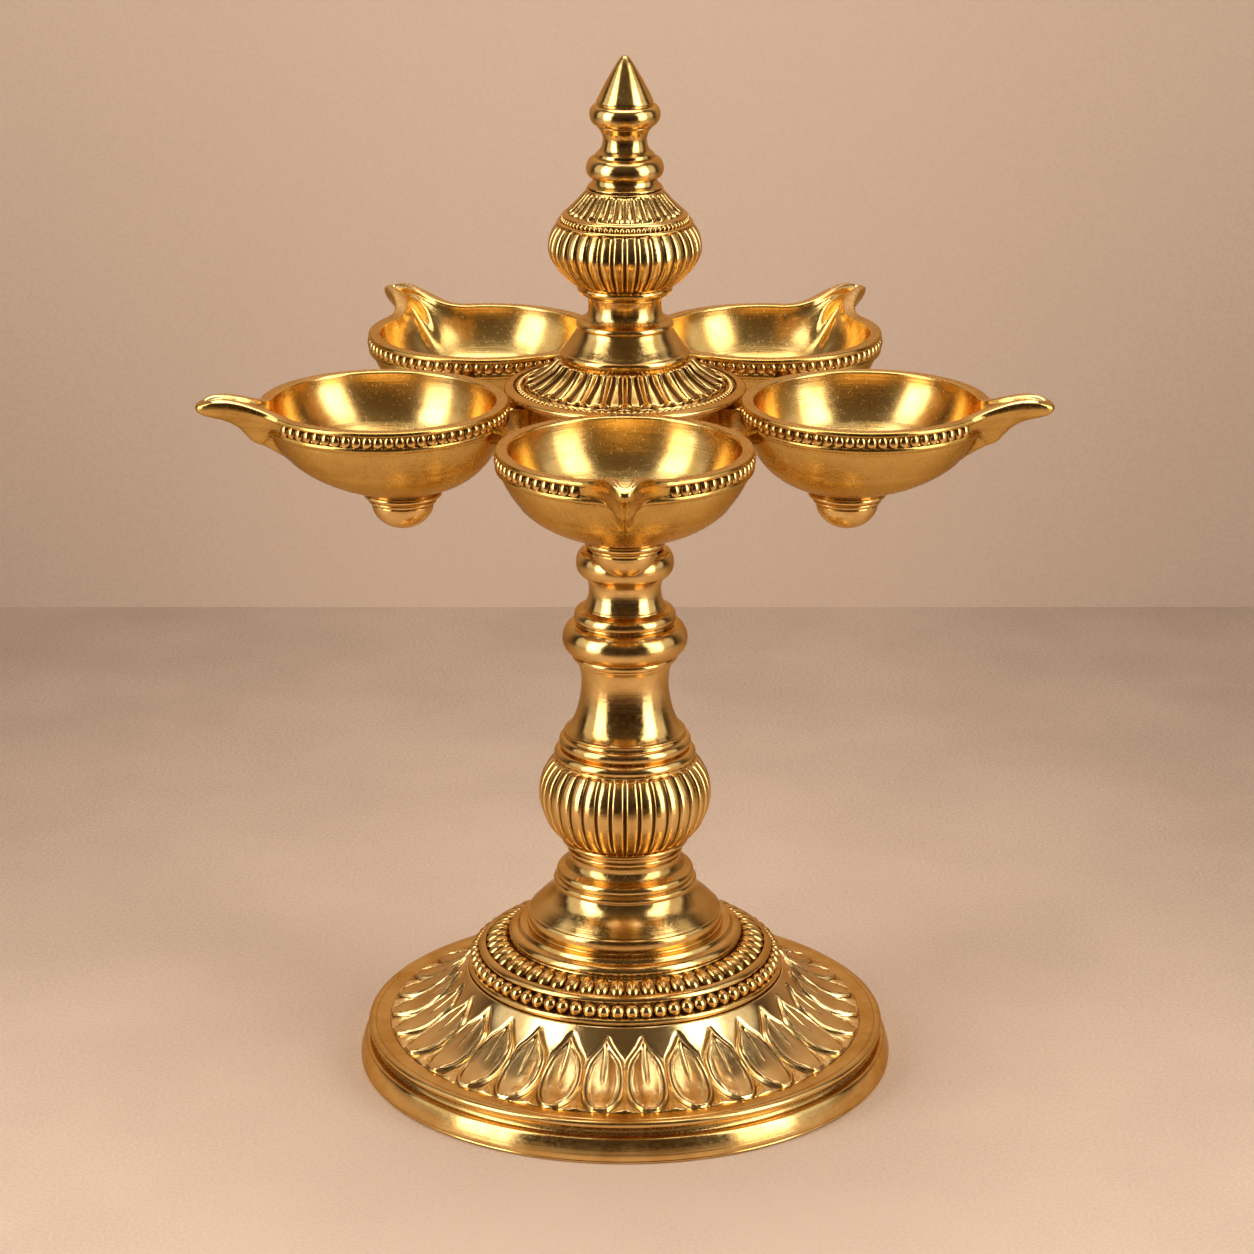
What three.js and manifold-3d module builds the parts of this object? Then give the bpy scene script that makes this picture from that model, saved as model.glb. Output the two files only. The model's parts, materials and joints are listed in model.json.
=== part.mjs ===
// A standing brass oil lamp: five spouted cups round a turned column on a petalled foot.
// Millimetres, +Z up. The foot stands on z = 0 and the spout of cup_1 points along -Y.
// The origin is under the middle of the lamp's overall box, so the turned axis stands at y = axisY.

import * as THREE from 'three';
import { mergeVertices } from 'three/addons/utils/BufferGeometryUtils.js';
import Module from 'manifold-3d';

const wasm = await Module();
wasm.setup();

// Whole lamp
const lampHeight = 305;
const axisY = 12;
const gap = 0.3; // between faces that are brazed, or that turn on each other

// Tie rod, which clamps the stacked pieces between the nut in the foot and the spire
const rodRadius = 3;
const boreRadius = 3.4;
const rodFoot = 21.5;
const rodTop = 280;
const washerRadius = 12;
const washerThickness = 1.6;
const nutAcrossCorners = 11.5;
const nutThickness = 5;

// Foot
const footRadius = 80.3;
const flangeRadius = 77.4;
const flangeTop = 12;
const skirtFootRadius = 69.4;
const skirtTopRadius = 47.4;
const skirtTop = 29;
const footTop = 42.8;
const footWall = 3.2;
const bossRadius = 12;
const bossFoot = 31;

// Heights where one turned piece of the column sits on the next
const bellTop = 67;
const knopTop = 95.6;
const knopCapTop = 103.2;
const waistTop = 126.1;
const ringKnopTop = 142.5;
const columnTop = 160;
const hubTop = 207.2;
const canopyTop = 217.1;
const upperBellTop = 236.2;
const bulbTop = 267.1;

// Flutes of the knop and the bulb
const fluteCount = 36;
const fluteDepth = 1.1;

// Cups, in a frame whose origin is the middle of the lip
const cupCount = 5;
const cupRadius = 71.8; // from the lamp's axis to the middle of a lip
const lipHeight = 210.7;
const lipRadius = 35.3;
const bowl = { radius: 34.7, depth: 27.2 };
const mouth = { radius: 31.8, depth: 24.4 };
const bowlFullness = 2.15; // 2 would be an ellipse
const padRadius = 9.6;
const bowlLean = 5; // the bowl's bottom lies this much nearer the lamp's axis than its lip
const spout = { reach: 20, halfAngle: 0.4, runOut: 15, heel: 12.4, rise: 4 };
const trough = { reach: 15.8, halfAngle: 0.26, runOut: 11, heel: 11, rise: 4 };

// Hub
const drumRadius = 31;
const drumFoot = 195.6;
const lug = { width: 8, height: 7, top: 206 };
const tie = { width: 4.5, height: 5, middle: 204.4, radius: 51 };

const polishedBrass = new THREE.MeshStandardMaterial({ color: 0xc9973f, roughness: 0.26, metalness: 1 });
const satinBrass = new THREE.MeshStandardMaterial({ color: 0xb98a3c, roughness: 0.4, metalness: 1 });
const rawBrass = new THREE.MeshStandardMaterial({ color: 0x8f6c34, roughness: 0.6, metalness: 1 });

const lamp = new THREE.Group();
const onAxis = new THREE.Group();
onAxis.position.y = axisY;
lamp.add(onAxis);

// An outline of a turned piece, drawn in radius and height, up its outside. A swell is one round
// stretch that stands out to its peak halfway, or draws in to it when the peak is the smaller radius.
class Outline extends THREE.Path {
  line(radius, height) {
    return this.lineTo(radius, height);
  }

  curve(pullRadius, pullHeight, radius, height) {
    return this.quadraticCurveTo(pullRadius, pullHeight, radius, height);
  }

  swell(radius, height, peak) {
    const { x, y } = this.currentPoint;
    return this.curve(2 * peak - (x + radius) / 2, (y + height) / 2, radius, height);
  }
}

// Starts a column piece at the foot of its bore
function boredAt(height) {
  return new Outline().moveTo(boreRadius, height);
}

// Ends it across its top face and down the bore
function closedAt(outline, height) {
  const foot = outline.getPoint(0).y;
  return outline.line(boreRadius, height).line(boreRadius, foot);
}

function turned(outline, segments, curveSteps = 3) {
  const geometry = new THREE.LatheGeometry(outline.getPoints(curveSteps), segments);
  return geometry.rotateX(Math.PI / 2);
}

function addMesh(name, geometry, material, parent = onAxis) {
  const mesh = new THREE.Mesh(geometry, material);
  mesh.name = name;
  parent.add(mesh);
  return mesh;
}

// A group turned to the place of cup number index, where 0 is in front
function turnedGroup(index) {
  const group = new THREE.Group();
  group.rotation.z = (index * 2 * Math.PI) / cupCount;
  onAxis.add(group);
  return group;
}

// Moves every point of a geometry by a function of its place
function reshape(geometry, move) {
  const position = geometry.attributes.position;
  const point = new THREE.Vector3();
  for (let i = 0; i < position.count; i += 1) {
    move(point.fromBufferAttribute(position, i));
    position.setXYZ(i, point.x, point.y, point.z);
  }
  return geometry;
}

function solidFrom(geometry) {
  const bare = geometry.clone();
  bare.deleteAttribute('normal');
  bare.deleteAttribute('uv');
  const merged = mergeVertices(bare);
  const vertProperties = new Float32Array(merged.attributes.position.array);
  const triVerts = new Uint32Array(merged.index.array);
  return new wasm.Manifold(new wasm.Mesh({ numProp: 3, vertProperties, triVerts }));
}

function geometryFrom(solid) {
  const mesh = solid.getMesh();
  const geometry = new THREE.BufferGeometry();
  geometry.setAttribute('position', new THREE.BufferAttribute(new Float32Array(mesh.vertProperties), 3));
  geometry.setIndex(new THREE.BufferAttribute(new Uint32Array(mesh.triVerts), 1));
  geometry.computeVertexNormals();
  return geometry;
}

// Pulls a turned shape in along evenly spaced grooves that fade out at bottom and top
function flute(geometry, bottom, top) {
  return reshape(geometry, (point) => {
    const radius = Math.hypot(point.x, point.y);
    const along = (point.z - bottom) / (top - bottom);
    if (along <= 0 || along >= 1 || radius < 2 * boreRadius) {
      return;
    }
    const groove = (1 + Math.cos(fluteCount * Math.atan2(point.x, -point.y))) / 2;
    const scale = 1 - (fluteDepth * groove * Math.sqrt(Math.sin(Math.PI * along))) / radius;
    point.x *= scale;
    point.y *= scale;
  });
}

// Foot: a hollow casting with a flange, a skirt for the petals and a stepped plinth
function foot() {
  const outline = boredAt(footTop).line(boreRadius, bossFoot).line(bossRadius, bossFoot);
  outline.line(bossRadius, footTop - 6).line(29, footTop - 6).line(skirtTopRadius - footWall, skirtTop - 2.4);
  outline.line(skirtFootRadius - footWall, flangeTop - footWall).line(74.4, flangeTop - footWall).line(74.4, 0);
  outline.line(footRadius - 0.6, 0).line(footRadius, 0.8).line(footRadius, 6.6).line(flangeRadius, 8.2);
  outline.line(flangeRadius - 1.2, 9.4).swell(flangeRadius - 1, flangeTop, flangeRadius + 0.3);
  outline.line(skirtFootRadius, flangeTop).curve(58.6, 18.6, skirtTopRadius, skirtTop);
  outline.line(47, 30.4).swell(44.4, 35, 46.8).line(42.6, 35.8).line(34.4, 39.4);
  outline.line(33.8, 40.8).line(32.9, 42.2).line(30.4, footTop);
  return turned(outline.line(boreRadius, footTop), 34, 2);
}

// Bell collar: a flared cone on the foot, with a grooved ring and a short neck
function bellCollar() {
  const outline = boredAt(footTop).line(29, footTop).line(28.5, 46.3).line(25.8, 49.4);
  outline.curve(21.5, 51.6, 20.9, 56).line(20, 57.2).line(20, 59.6).line(16.9, 62.2);
  outline.swell(17.2, bellTop, 16.4);
  return turned(closedAt(outline, bellTop), 24, 2);
}

// Fluted knop, with the ring under it
function flutedKnop() {
  const outline = boredAt(bellTop).line(17.6, bellTop).swell(17.9, 70.2, 18.5);
  outline.curve(25.2, 72.8, 25.6, 83.8).curve(25.8, 91.6, 20.8, knopTop);
  return flute(turned(closedAt(outline, knopTop), 2 * fluteCount, 2), 70.4, knopTop - 0.4);
}

// Stack of rings on the knop
function knopCap() {
  const outline = boredAt(knopTop).line(20.6, knopTop).swell(18.3, 98.4, 20.6);
  outline.swell(18.3, 100.8, 18.8).swell(17.8, knopCapTop, 18.7);
  return turned(closedAt(outline, knopCapTop), 24, 2);
}

// Waisted length of the column
function stemWaist() {
  const outline = boredAt(knopCapTop).line(17.5, knopCapTop).curve(12.9, 110, 12.9, 118.6);
  outline.curve(12.9, 123, 14.4, waistTop);
  return turned(closedAt(outline, waistTop), 24);
}

// Knop of one large ring between two small ones
function ringKnop() {
  const outline = boredAt(waistTop).line(15, waistTop).swell(15.3, 128.4, 15.5).swell(14.5, 137.4, 18.4);
  outline.swell(13.3, 141.8, 14.7).line(11.9, ringKnopTop);
  return turned(closedAt(outline, ringKnopTop), 24, 2);
}

// Neck and top collar of the column, which the hub turns on
function topCollar() {
  const outline = boredAt(ringKnopTop).line(11.6, ringKnopTop).swell(11.3, 151.3, 10.3);
  outline.swell(11.8, columnTop, 14.1);
  return turned(closedAt(outline, columnTop), 24);
}

// Petal canopy: a conical disc with a round rim, over the hub
function petalCanopy() {
  const outline = boredAt(hubTop).line(33.6, hubTop).swell(33.4, 209.8, 35).line(32.4, 209);
  outline.line(31, 210).curve(24, 212.2, 18, canopyTop);
  return turned(closedAt(outline, canopyTop), 36, 2);
}

// Upper bell, with a ring and the neck of the finial
function upperBell() {
  const outline = boredAt(canopyTop).line(18, canopyTop).line(18.6, 220.4).curve(14.6, 222.4, 13.3, 226.7);
  outline.swell(13.3, 228.7, 13.8).line(12, 229).swell(10.9, upperBellTop, 10.5);
  return turned(closedAt(outline, upperBellTop), 24, 2);
}

// Fluted bulb, with the ring under it and the shoulder over it
function flutedBulb() {
  const outline = boredAt(upperBellTop).line(11.6, upperBellTop).swell(13.2, 239.4, 13.5);
  outline.curve(21.9, 241.6, 22, 250).curve(22, 255, 18.8, 257.6).line(17.9, 259.2).line(10.6, bulbTop);
  return flute(turned(closedAt(outline, bulbTop), 2 * fluteCount, 2), 239.6, 257.6);
}

// Spire: a blind-tapped cap nut in the form of a finial
function spire() {
  const foot = bulbTop + gap;
  const outline = new Outline().moveTo(0, rodTop + 1).line(boreRadius, rodTop + 1).line(boreRadius, foot);
  outline.line(9.8, foot).line(10.2, 268.2).line(8.9, 269.2).line(9.1, 270.6).swell(8.3, 276.4, 11);
  outline.curve(6.2, 277.5, 6.2, 281.2).curve(6.3, 284.2, 7.8, 285).swell(8.2, 291.3, 9.9);
  outline.curve(5.6, 298.4, 0.9, lampHeight - 0.5);
  return turned(outline.line(0, lampHeight), 20, 2);
}

function tieRod() {
  const rod = new THREE.CylinderGeometry(rodRadius, rodRadius, rodTop - rodFoot, 14);
  return rod.rotateX(Math.PI / 2).translate(0, 0, (rodTop + rodFoot) / 2);
}

function washer() {
  const foot = bossFoot - washerThickness;
  return turned(closedAt(boredAt(foot).line(washerRadius, foot).line(washerRadius, bossFoot), bossFoot), 20);
}

function nut() {
  const hexagon = new THREE.Shape();
  for (let corner = 0; corner < 6; corner += 1) {
    const angle = (corner * Math.PI) / 3;
    const x = (Math.cos(angle) * nutAcrossCorners) / 2;
    const y = (Math.sin(angle) * nutAcrossCorners) / 2;
    if (corner === 0) {
      hexagon.moveTo(x, y);
    } else {
      hexagon.lineTo(x, y);
    }
  }
  hexagon.holes.push(new THREE.Path().absarc(0, 0, boreRadius, 0, 2 * Math.PI, true));
  const geometry = new THREE.ExtrudeGeometry(hexagon, { depth: nutThickness, bevelEnabled: false, curveSegments: 8 });
  return geometry.translate(0, 0, bossFoot - washerThickness - nutThickness);
}

// Leans a bowl towards the lamp's axis with depth
function lean(depth) {
  return bowlLean * (depth / bowl.depth) ** 2;
}

// A point on the round of a bowl, from its lip at share 0 to its bottom at share 1
function onBowl({ radius, depth }, share) {
  const angle = (share * Math.PI) / 2;
  const power = 2 / bowlFullness;
  return [radius * Math.cos(angle) ** power, -depth * Math.sin(angle) ** power];
}

const padShare = (Math.acos((padRadius / bowl.radius) ** (bowlFullness / 2)) * 2) / Math.PI;
const padHeight = onBowl(bowl, padShare)[1];

// Cup: a round bowl whose wall is drawn out at the front into a pinched spout with a keel under it.
// The columns of the turned shape are crowded towards the spout before the wall is drawn.
function cup() {
  const outline = new Outline().moveTo(0, padHeight);
  for (const share of [padShare, 0.66, 0.46, 0.3, 0.15]) {
    outline.line(...onBowl(bowl, share));
  }
  outline.line(lipRadius - 0.9, -5.6).line(lipRadius, -1).line(lipRadius - 0.4, 0);
  for (const share of [0, 0.14, 0.3, 0.5, 0.75]) {
    outline.line(...onBowl(mouth, share));
  }
  outline.line(0, -mouth.depth);
  const crowding = 0.75;
  return reshape(turned(outline, 26), (point) => {
    const radius = Math.hypot(point.x, point.y);
    const column = Math.atan2(point.x, -point.y);
    const angle = column - crowding * Math.sin(column);
    const depth = -point.z;
    const fullness = (radius / mouth.radius) ** bowlFullness + (depth / mouth.depth) ** bowlFullness;
    const pull = fullness < 1.01 ? trough : spout;
    const fade = Math.max(0, 1 - depth / pull.runOut) * THREE.MathUtils.smoothstep(pull.heel - depth, 0, 2);
    const width = pull.halfAngle * (0.7 + 0.3 * fade);
    const beak = Math.cos((Math.PI / 2) * Math.min(1, Math.abs(angle) / width)) ** 4;
    const drawn = radius + pull.reach * fade * beak;
    point.x = drawn * Math.sin(angle);
    point.y = lean(depth) - drawn * Math.cos(angle);
    point.z += pull.rise * fade * beak ** 0.4;
  });
}

// Boss: a ringed knob brazed under a bowl
function cupBoss() {
  const top = padHeight - gap;
  const outline = new Outline().absellipse(0, top - 4, 8.4, 7.4, -Math.PI / 2, 0, false);
  outline.line(8.9, top - 3.4).line(8.9, top - 2.4).line(10.9, top - 1.8).line(10.2, top);
  return turned(outline.line(0, top), 12, 2);
}

// The room that a cup and its braze take up, which neighbouring pieces are cut back to
function cupRoom(index) {
  const outline = new Outline().moveTo(0, -bowl.depth - gap);
  for (const share of [0.9, 0.75, 0.6, 0.45, 0.3, 0.15]) {
    const [radius, height] = onBowl(bowl, share);
    outline.line(radius + gap, height - gap);
  }
  outline.line(lipRadius + gap, -5.6).line(lipRadius + gap, gap).line(0, gap);
  const room = reshape(turned(outline, 48), (point) => {
    point.y += lean(-point.z) - cupRadius;
    point.z += lipHeight;
  });
  return solidFrom(room.rotateZ((index * 2 * Math.PI) / cupCount));
}

const cupRooms = Array.from({ length: cupCount }, (_, index) => cupRoom(index));

// Hub: a trumpet-shaped casting with a drum and one lug to each cup
function hub() {
  const foot = columnTop + gap;
  const outline = boredAt(foot).line(11, foot).line(11, 163).curve(12, 184, 27, drumFoot - 1);
  outline.line(drumRadius - 0.6, drumFoot + 0.4).swell(drumRadius - 0.8, hubTop - 0.6, drumRadius);
  outline.line(drumRadius - 1.4, hubTop);
  let solid = solidFrom(turned(closedAt(outline, hubTop), 30));
  const lugLength = cupRadius - lipRadius - drumRadius + 8;
  for (let index = 0; index < cupCount; index += 1) {
    const arm = new THREE.BoxGeometry(lug.width, lugLength, lug.height);
    arm.translate(0, -drumRadius - lugLength / 2 + 4, lug.top - lug.height / 2);
    solid = solid.add(solidFrom(arm.rotateZ((index * 2 * Math.PI) / cupCount)));
  }
  for (const room of cupRooms) {
    solid = solid.subtract(room);
  }
  return geometryFrom(solid);
}

// Tie: a short bar brazed between one cup and the next, cut to the round of both
function cupTie(index) {
  const bar = new THREE.BoxGeometry(34, tie.width, tie.height);
  bar.translate(0, -tie.radius, tie.middle);
  bar.rotateZ(((index + 0.5) * 2 * Math.PI) / cupCount);
  const next = cupRooms[(index + 1) % cupCount];
  return geometryFrom(solidFrom(bar).subtract(cupRooms[index]).subtract(next));
}

// The column, from the foot up, and what clamps it
addMesh('foot', foot(), polishedBrass);
addMesh('bell_collar', bellCollar(), polishedBrass);
addMesh('fluted_knop', flutedKnop(), polishedBrass);
addMesh('knop_cap', knopCap(), polishedBrass);
addMesh('stem_waist', stemWaist(), polishedBrass);
addMesh('ring_knop', ringKnop(), polishedBrass);
addMesh('top_collar', topCollar(), polishedBrass);
addMesh('tie_rod', tieRod(), rawBrass);
addMesh('rod_washer', washer(), rawBrass);
addMesh('rod_nut', nut(), rawBrass);

// The ring of cups, which turns on the top collar
addMesh('hub', hub(), satinBrass);
addMesh('petal_canopy', petalCanopy(), polishedBrass);
addMesh('upper_bell', upperBell(), polishedBrass);
addMesh('fluted_bulb', flutedBulb(), polishedBrass);
for (let index = 0; index < cupCount; index += 1) {
  const place = turnedGroup(index);
  const vessel = addMesh(`cup_${index + 1}`, cup(), satinBrass, place);
  vessel.position.set(0, -cupRadius, lipHeight);
  const boss = addMesh(`cup_boss_${index + 1}`, cupBoss(), polishedBrass, place);
  boss.position.set(0, bowlLean - cupRadius, lipHeight);
  addMesh(`cup_tie_${index + 1}`, cupTie(index), satinBrass);
}

// The spire screws down on the tie rod and holds the rest together
addMesh('spire', spire(), polishedBrass);

export default lamp;
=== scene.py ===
import json
import math

import bmesh
import bpy
import numpy as np
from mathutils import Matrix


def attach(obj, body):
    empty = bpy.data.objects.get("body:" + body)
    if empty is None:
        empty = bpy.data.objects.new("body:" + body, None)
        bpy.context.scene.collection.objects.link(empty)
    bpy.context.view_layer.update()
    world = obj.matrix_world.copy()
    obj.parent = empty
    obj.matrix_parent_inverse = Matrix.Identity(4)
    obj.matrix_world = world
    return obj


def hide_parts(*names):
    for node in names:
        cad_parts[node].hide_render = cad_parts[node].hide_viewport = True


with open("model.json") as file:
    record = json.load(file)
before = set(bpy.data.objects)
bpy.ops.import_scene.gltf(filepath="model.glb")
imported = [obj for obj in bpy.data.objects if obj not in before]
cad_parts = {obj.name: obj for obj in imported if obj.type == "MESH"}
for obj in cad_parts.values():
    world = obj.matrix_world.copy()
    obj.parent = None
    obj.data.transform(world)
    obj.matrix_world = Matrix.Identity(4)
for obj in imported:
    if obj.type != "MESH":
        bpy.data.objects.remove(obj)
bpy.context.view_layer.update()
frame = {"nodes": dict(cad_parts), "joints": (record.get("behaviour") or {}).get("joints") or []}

mm = 0.001
axis_y = next(j for j in frame["joints"] if j["name"] == "cup_ring_turn")["pos_m"][1] / mm


# Camera, floor and wall. The lamp stands on a warm speckled floor, before a wall of the same
# colour that meets it in a soft line, darkened by painted shade. Both sheets are painted darker away
# from the lamp and carry a painted pale glow far off. A long lens looks down on it a little.
picture_width, focal_length = 1254, 4000  # in pixels of the photograph
sight = bpy.data.cameras.new("sight")
sight.sensor_width = 36
sight.lens = focal_length / picture_width * sight.sensor_width
camera = bpy.data.objects.new("camera", sight)
bpy.context.scene.collection.objects.link(camera)
look_down, from_target = math.radians(18.4), 1177.92
target_x, target_height = 0.59, 135.54
camera.location = (target_x * mm, (axis_y - from_target * math.cos(look_down)) * mm,
                   (target_height + from_target * math.sin(look_down)) * mm)
camera.rotation_euler = (math.pi / 2 - look_down, 0, 0)
sight.clip_end = 30
bpy.context.scene.camera = camera


def feed(node, **sockets):
    """Fills a node's inputs. Each is named with its spaces as underscores, or numbered as s0, s1, and
    takes a value, or the output of another node."""
    for key, value in sockets.items():
        numbered = key[0] == "s" and key[1:].isdigit()
        socket = node.inputs[int(key[1:])] if numbered else node.inputs[key.replace("_", " ")]
        if isinstance(value, bpy.types.NodeSocket):
            node.id_data.links.new(value, socket)
        else:
            socket.default_value = value


def add_node(tree, kind, settings=None, **sockets):
    """A node of that kind, with its inputs filled."""
    node = tree.nodes.new("ShaderNode" + kind)
    for key, value in (settings or {}).items():
        setattr(node, key, value)
    feed(node, **sockets)
    return node


def maths(tree, operation, *values):
    """The result of one sum on up to three numbers or outputs."""
    return add_node(tree, "Math", {"operation": operation},
                    **{f"s{i}": value for i, value in enumerate(values)}).outputs[0]


def mix_colours(tree, share, first, second):
    """The first colour turned into the second by the share."""
    return add_node(tree, "Mix", {"data_type": "RGBA"}, s0=share, s6=first, s7=second).outputs[2]


def noise(tree, place, scale, detail, settings=None, **more):
    """Cloudy noise at that place, from 0 to 1."""
    node = add_node(tree, "TexNoise", settings, Vector=place, Scale=scale, Detail=detail, **more)
    return node.outputs[0]


def ramp(tree, value, low, high, to_low=0.0, to_high=1.0):
    """The value carried smoothly from the range low to high onto the range to_low to to_high."""
    return add_node(tree, "MapRange", {"interpolation_type": "SMOOTHSTEP"}, Value=value, From_Min=low,
                    From_Max=high, To_Min=to_low, To_Max=to_high).outputs["Result"]


def new_material(name):
    """An empty material with its Principled shader already joined to the output."""
    material = bpy.data.materials.new(name)
    material.use_nodes = True
    tree = material.node_tree
    tree.nodes.clear()
    shader = add_node(tree, "BsdfPrincipled")
    add_node(tree, "OutputMaterial", Surface=shader.outputs[0])
    return material, tree, shader


# Reaches in metres where the painted pale glow of the far floor and wall starts and is full, the fineness
# of the floor's grain, and below it the tone of that painted glow.
lit_reach, dark_reach, grains_per_metre = 0.5, 1.5, 900.0
painted_glow_tone = (0.4, 0.285, 0.215, 1)


def studio_surface(name, bright, deep, painted_shading, patch_size, grain, one_sided=False):
    """A matt painted sheet. The given function works out from the place, in metres, how far it has gone
    over
    from the bright colour to the deep one: this is painted shade, to which soft patches and fine specks
    add.
    Far from the lamp, where the studio light ends, the camera sees it in a painted pale glow that the
    brass doesn't mirror. A one-sided sheet can't be seen from behind."""
    material, tree, shader = new_material(name)
    place = add_node(tree, "TexCoord").outputs["Object"]
    patches = noise(tree, place, 1 / patch_size, 4.0)
    grains = noise(tree, place, grains_per_metre, 4.0)
    x, y, z = add_node(tree, "SeparateXYZ", Vector=place).outputs
    share = maths(tree, "ADD", painted_shading(tree, x, y, z), ramp(tree, patches, 0.3, 0.7, -0.035, 0.035))
    share = maths(tree, "ADD", share, ramp(tree, grains, 0.3, 0.7, -grain, grain))
    colour = mix_colours(tree, share, bright, deep)
    # Painted glow: far from the lamps, where their light ends, the sheet emits a pale tone that only the
    # camera sees.
    far = maths(tree, "MAXIMUM", ramp(tree, maths(tree, "ABSOLUTE", x), lit_reach, dark_reach),
                ramp(tree, y, -lit_reach, -dark_reach))
    far = maths(tree, "MULTIPLY", far, add_node(tree, "LightPath").outputs["Is Camera Ray"])
    glow = mix_colours(tree, far, (0, 0, 0, 1), painted_glow_tone)
    height = add_node(tree, "Bump", Height=grains, Distance=0.0002, Strength=0.2)
    feed(shader, Base_Color=colour, Emission_Color=glow, Emission_Strength=1.0, Roughness=0.75,
         Specular_IOR_Level=0.25, Normal=height.outputs[0])
    if one_sided:
        behind = add_node(tree, "NewGeometry").outputs["Backfacing"]
        feed(shader, Alpha=maths(tree, "SUBTRACT", 1.0, behind))
    return material


def stage_sheet(name, near, far, material):
    """A flat sheet of the studio between two opposite corners. It isn't a part of the lamp."""
    (x0, y0, z0), (x1, y1, z1) = near, far
    mesh = bpy.data.meshes.new(name)
    mesh.from_pydata([(x0, y0, z0), (x1, y0, z0), (x1, y1, z1), (x0, y1, z1)], [], [(0, 1, 2, 3)])
    mesh.materials.append(material)
    sheet = bpy.data.objects.new(name, mesh)
    bpy.context.scene.collection.objects.link(sheet)


wall_y, wall_height, half_room = 0.445, 2, 2.6


def mirrored_only(tree, amount):
    """The amount in a mirror image of the surface, and nothing where the camera sees it directly."""
    seen = add_node(tree, "LightPath").outputs["Is Camera Ray"]
    return maths(tree, "MULTIPLY", amount, maths(tree, "SUBTRACT", 1.0, seen))


def floor_painted_shade(tree, x, y, z):
    """Painted shade, deeper towards the wall and to the sides. Outside the picture towards the camera the
    floor is painted dark in mirror images only, a painted dark reflection in the brass."""
    to_wall = ramp(tree, y, -0.16, 0.44, 0.0, 0.45)
    side = ramp(tree, maths(tree, "ABSOLUTE", x), 0.04, 0.3, 0.0, 0.14)
    painted_dark_reflection = mirrored_only(tree, ramp(tree, y, -0.2, -0.46, 0.0, 1.0))
    return maths(tree, "ADD", maths(tree, "ADD", to_wall, side), painted_dark_reflection)


def wall_painted_shade(tree, x, y, z):
    """Painted shade, deeper towards both sides and the floor, and deepest outside the picture, where it
    is seen only in mirror images as a painted dark reflection in the brass.
    """
    aside = maths(tree, "ABSOLUTE", x)
    side = ramp(tree, aside, 0.02, 0.4, 0.0, 0.27)
    side = maths(tree, "ADD", side, mirrored_only(tree, ramp(tree, aside, 0.4, 0.9, 0.0, 0.41)))
    return maths(tree, "ADD", side, ramp(tree, z, 0.26, -0.02, 0.14, 0.24))


# The deep colours below are the tone of the painted shade on floor and wall.
floor_colour = studio_surface("warm_floor", bright=(0.69, 0.53, 0.415, 1), deep=(0.085, 0.05, 0.03, 1),
                              painted_shading=floor_painted_shade, patch_size=0.06, grain=0.07)
wall_colour = studio_surface("warm_wall", bright=(0.70, 0.53, 0.41, 1), deep=(0.10, 0.062, 0.04, 1),
                             painted_shading=wall_painted_shade, patch_size=0.4, grain=0.025, one_sided=True)
stage_sheet("floor", (-half_room, -half_room, 0), (half_room, half_room, 0), floor_colour)
stage_sheet("wall", (-half_room, wall_y, 0), (half_room, wall_y, wall_height), wall_colour)


# Studio light. One soft panel stands to each side of the camera and one hangs overhead, so that
# every turned piece shows two bright stripes with the darker room between them.
lamp_tone = (1, 0.95, 0.88)


def soft_panel(name, place, target, width, height, power):
    """A panel that shines from its place towards the target: tipped up from straight down, and then
    turned round to it. Its width and height are in metres and its power in watts."""
    light = bpy.data.lights.new(name, "AREA")
    light.shape = "RECTANGLE"
    light.size, light.size_y = width, height
    light.energy, light.color = power, lamp_tone
    panel = bpy.data.objects.new(name, light)
    x, y, z = (b - a for a, b in zip(place, target))
    panel.location = place
    panel.rotation_euler = (math.atan2(math.hypot(x, y), -z), 0, math.atan2(-x, y))
    bpy.context.scene.collection.objects.link(panel)


for side in (-1, 1):
    name = "left" if side < 0 else "right"
    soft_panel(f"{name}_panel", (0.78 * side, -0.46, 0.5), (0, 0, 0.2), 0.44, 1.05, 7.3)
    soft_panel(f"{name}_fill", (1.05 * side, -0.12, 0.55), (0, 0, 0.2), 0.7, 1.0, 1.8)
soft_panel("top_panel", (0, 0.12, 1.25), (0, 0.05, 0), 0.95, 0.6, 7.6)

world = bpy.data.worlds.new("studio")
world.use_nodes = True
bpy.context.scene.world = world
room = world.node_tree
room.nodes.clear()
facing = add_node(room, "TexCoord").outputs["Generated"]
upward = add_node(room, "SeparateXYZ", Vector=facing).outputs["Z"]
room_tone = mix_colours(room, ramp(room, upward, -0.1, 0.7), (0.03, 0.018, 0.01, 1), (0.2, 0.14, 0.09, 1))
seen = add_node(room, "LightPath").outputs["Is Camera Ray"]
room_tone = mix_colours(room, seen, room_tone, (0.8, 0.57, 0.43, 1))
room_light = add_node(room, "Background", Color=room_tone, Strength=0.5)
add_node(room, "OutputWorld", Surface=room_light.outputs[0])
bpy.context.scene.view_settings.view_transform = "Standard"


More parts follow.
